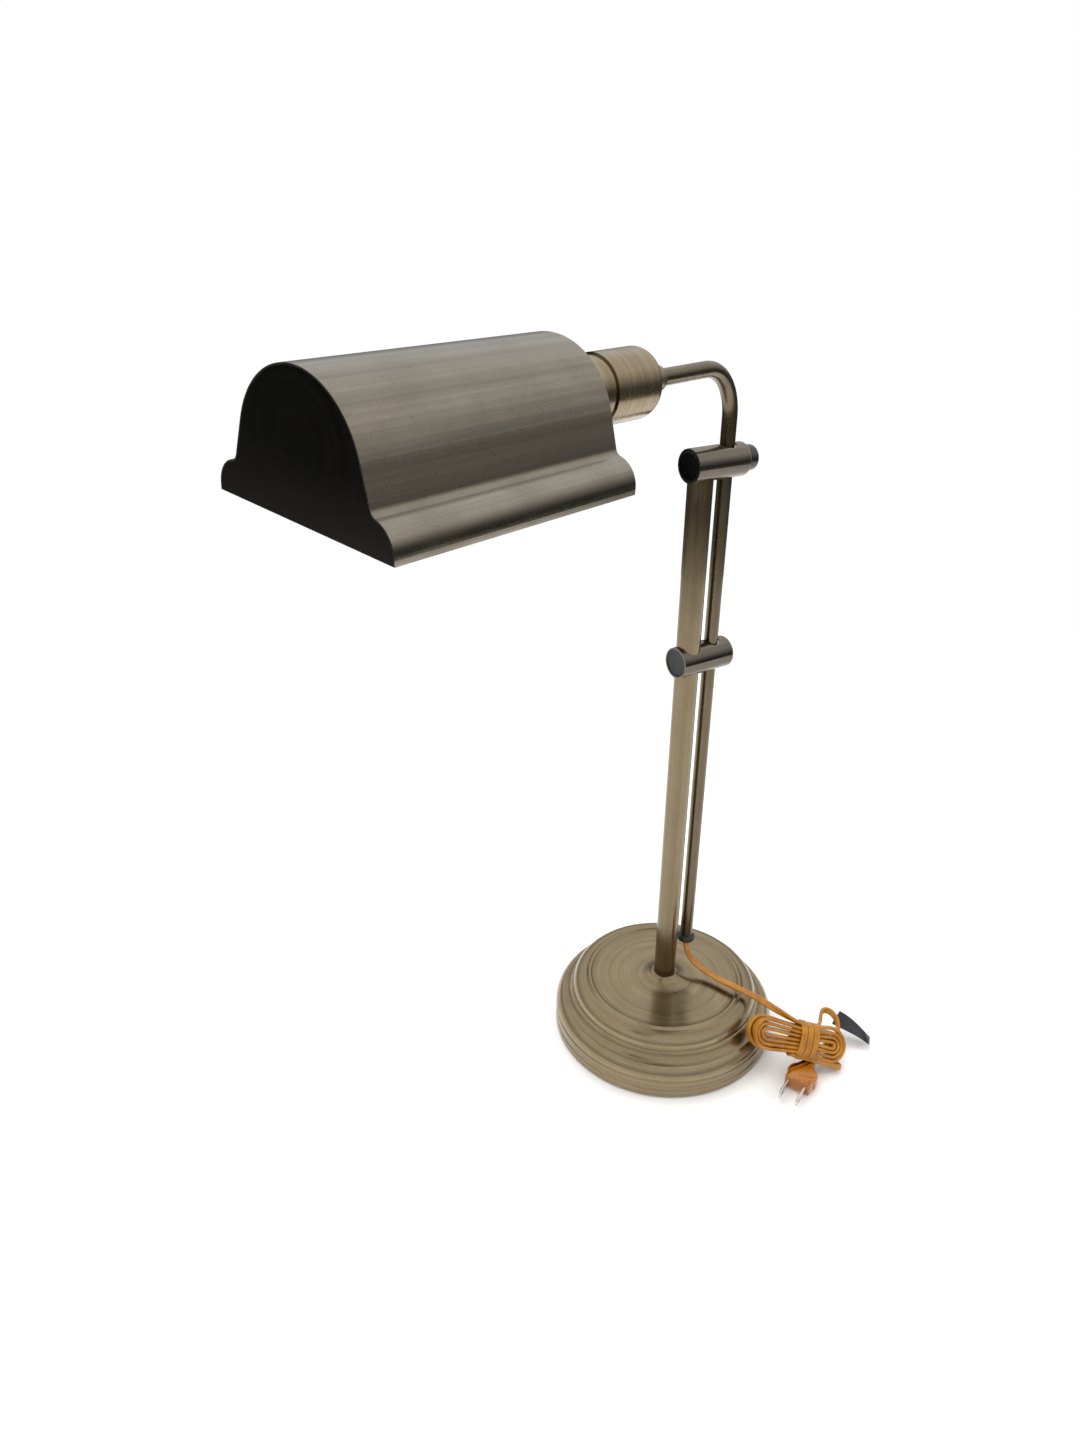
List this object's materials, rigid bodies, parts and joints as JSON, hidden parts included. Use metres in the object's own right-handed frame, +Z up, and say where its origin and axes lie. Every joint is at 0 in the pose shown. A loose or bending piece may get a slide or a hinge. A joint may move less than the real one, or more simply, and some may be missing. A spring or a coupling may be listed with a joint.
{
  "type": "desk lamp",
  "caption": "Banker desk lamp: round stepped brass base, column with two cross tubes, a sliding bent arm and a trough shade on a swivelling cup, with its cord tied in a hank.",
  "frame": {"origin": "centre of the felt's underside, where the lamp stands on the table", "axes": "+Z up; +X along the two cross tubes, from the fixed column towards the sliding rod; +Y by the right-hand rule, away from the side that the cord leaves on"},
  "size_m": [0.4171, 0.2185, 0.5259],
  "materials": {
    "aged_brass": "satin, antique",
    "shade_brass": "brushed lengthwise, antique",
    "dark_brass": "dark patina",
    "raw_brass": "plain",
    "zinc_steel": "zinc plated",
    "cast_iron": "rough",
    "felt": "felt",
    "nylon": "matt",
    "black_rubber": "matt",
    "phenolic": "satin",
    "black_plastic": "gloss",
    "bulb_aluminium": "satin",
    "bulb_glass": "frosted",
    "amber_cord": "translucent, glossy",
    "amber_plastic": "translucent, satin",
    "nickel": "nickel plated"
  },
  "bodies": {
    "stand": {"base_cover": "aged_brass", "base_weight": "cast_iron", "felt_pad": "felt", "base_washer": "zinc_steel", "base_bolt": "zinc_steel", "column_tube": "aged_brass", "column_plug": "raw_brass", "upper_cross_tube": "aged_brass", "lower_cross_tube": "aged_brass", "upper_end_cap": "dark_brass", "lower_end_cap": "dark_brass", "upper_end_plug": "aged_brass", "lower_end_plug": "aged_brass", "upper_guide_block": "nylon", "lower_guide_block": "nylon", "mains_cord": "amber_cord", "cord_hank": "amber_cord", "plug_lead": "amber_cord", "tag_loop": "amber_cord", "plug_body": "amber_plastic", "plug_blades": "nickel", "cord_tag": "black_plastic"},
    "clamp_pad": {"clamp_pad": "nylon"},
    "clamp_knob": {"clamp_knob": "dark_brass"},
    "rod_carriage": {"rod_end_bush": "black_rubber"},
    "arm": {"slide_rod": "aged_brass", "inner_lead": "amber_cord", "arm_collar": "aged_brass", "swivel_washer": "zinc_steel", "arm_nut": "raw_brass"},
    "head": {"socket_cup": "aged_brass", "neck_ring": "aged_brass", "socket_body": "phenolic", "screw_shell": "raw_brass", "centre_contact": "raw_brass", "bulb_cap": "bulb_aluminium", "bulb_glass": "bulb_glass", "shade_shell": "shade_brass", "far_end_plate": "dark_brass", "near_end_plate": "dark_brass", "shade_ring": "raw_brass"},
    "switch": {"switch_stem": "raw_brass", "switch_knob": "black_plastic"}
  },
  "joints": [
    {"name": "rod_lift", "type": "slide", "parent": "stand", "child": "rod_carriage", "axis": [0, 0, 1], "range_m": [0, 0.22]},
    {"name": "arm_swivel", "type": "hinge", "parent": "rod_carriage", "child": "arm", "pos_m": [0.0194, 0, 0.4955], "axis": [0, 0, 1], "range_deg": [-175, 175]},
    {"name": "shade_turn", "type": "hinge", "parent": "arm", "child": "head", "pos_m": [0.0194, 0, 0.4955], "axis": [-0.9641, -0.2656, 0], "range_deg": [-85, 95]},
    {"name": "clamp_pad_slide", "type": "slide", "parent": "stand", "child": "clamp_pad", "axis": [1, 0, 0], "range_m": [0, 0.0012]},
    {"name": "clamp_knob_turn", "type": "hinge", "parent": "clamp_pad", "child": "clamp_knob", "pos_m": [0.03, 0, 0.439], "axis": [1, 0, 0], "range_deg": [0, 540]},
    {"name": "switch_turn", "type": "hinge", "parent": "head", "child": "switch", "pos_m": [-0.09244, -0.03081, 0.4955], "axis": [-0.2175, 0.7897, -0.5736], "range_deg": [0, 90]}
  ],
  "couplings": [
    {"joint": "clamp_knob_turn", "follows": "clamp_pad_slide", "rad_per_m": 7853.9}
  ]
}
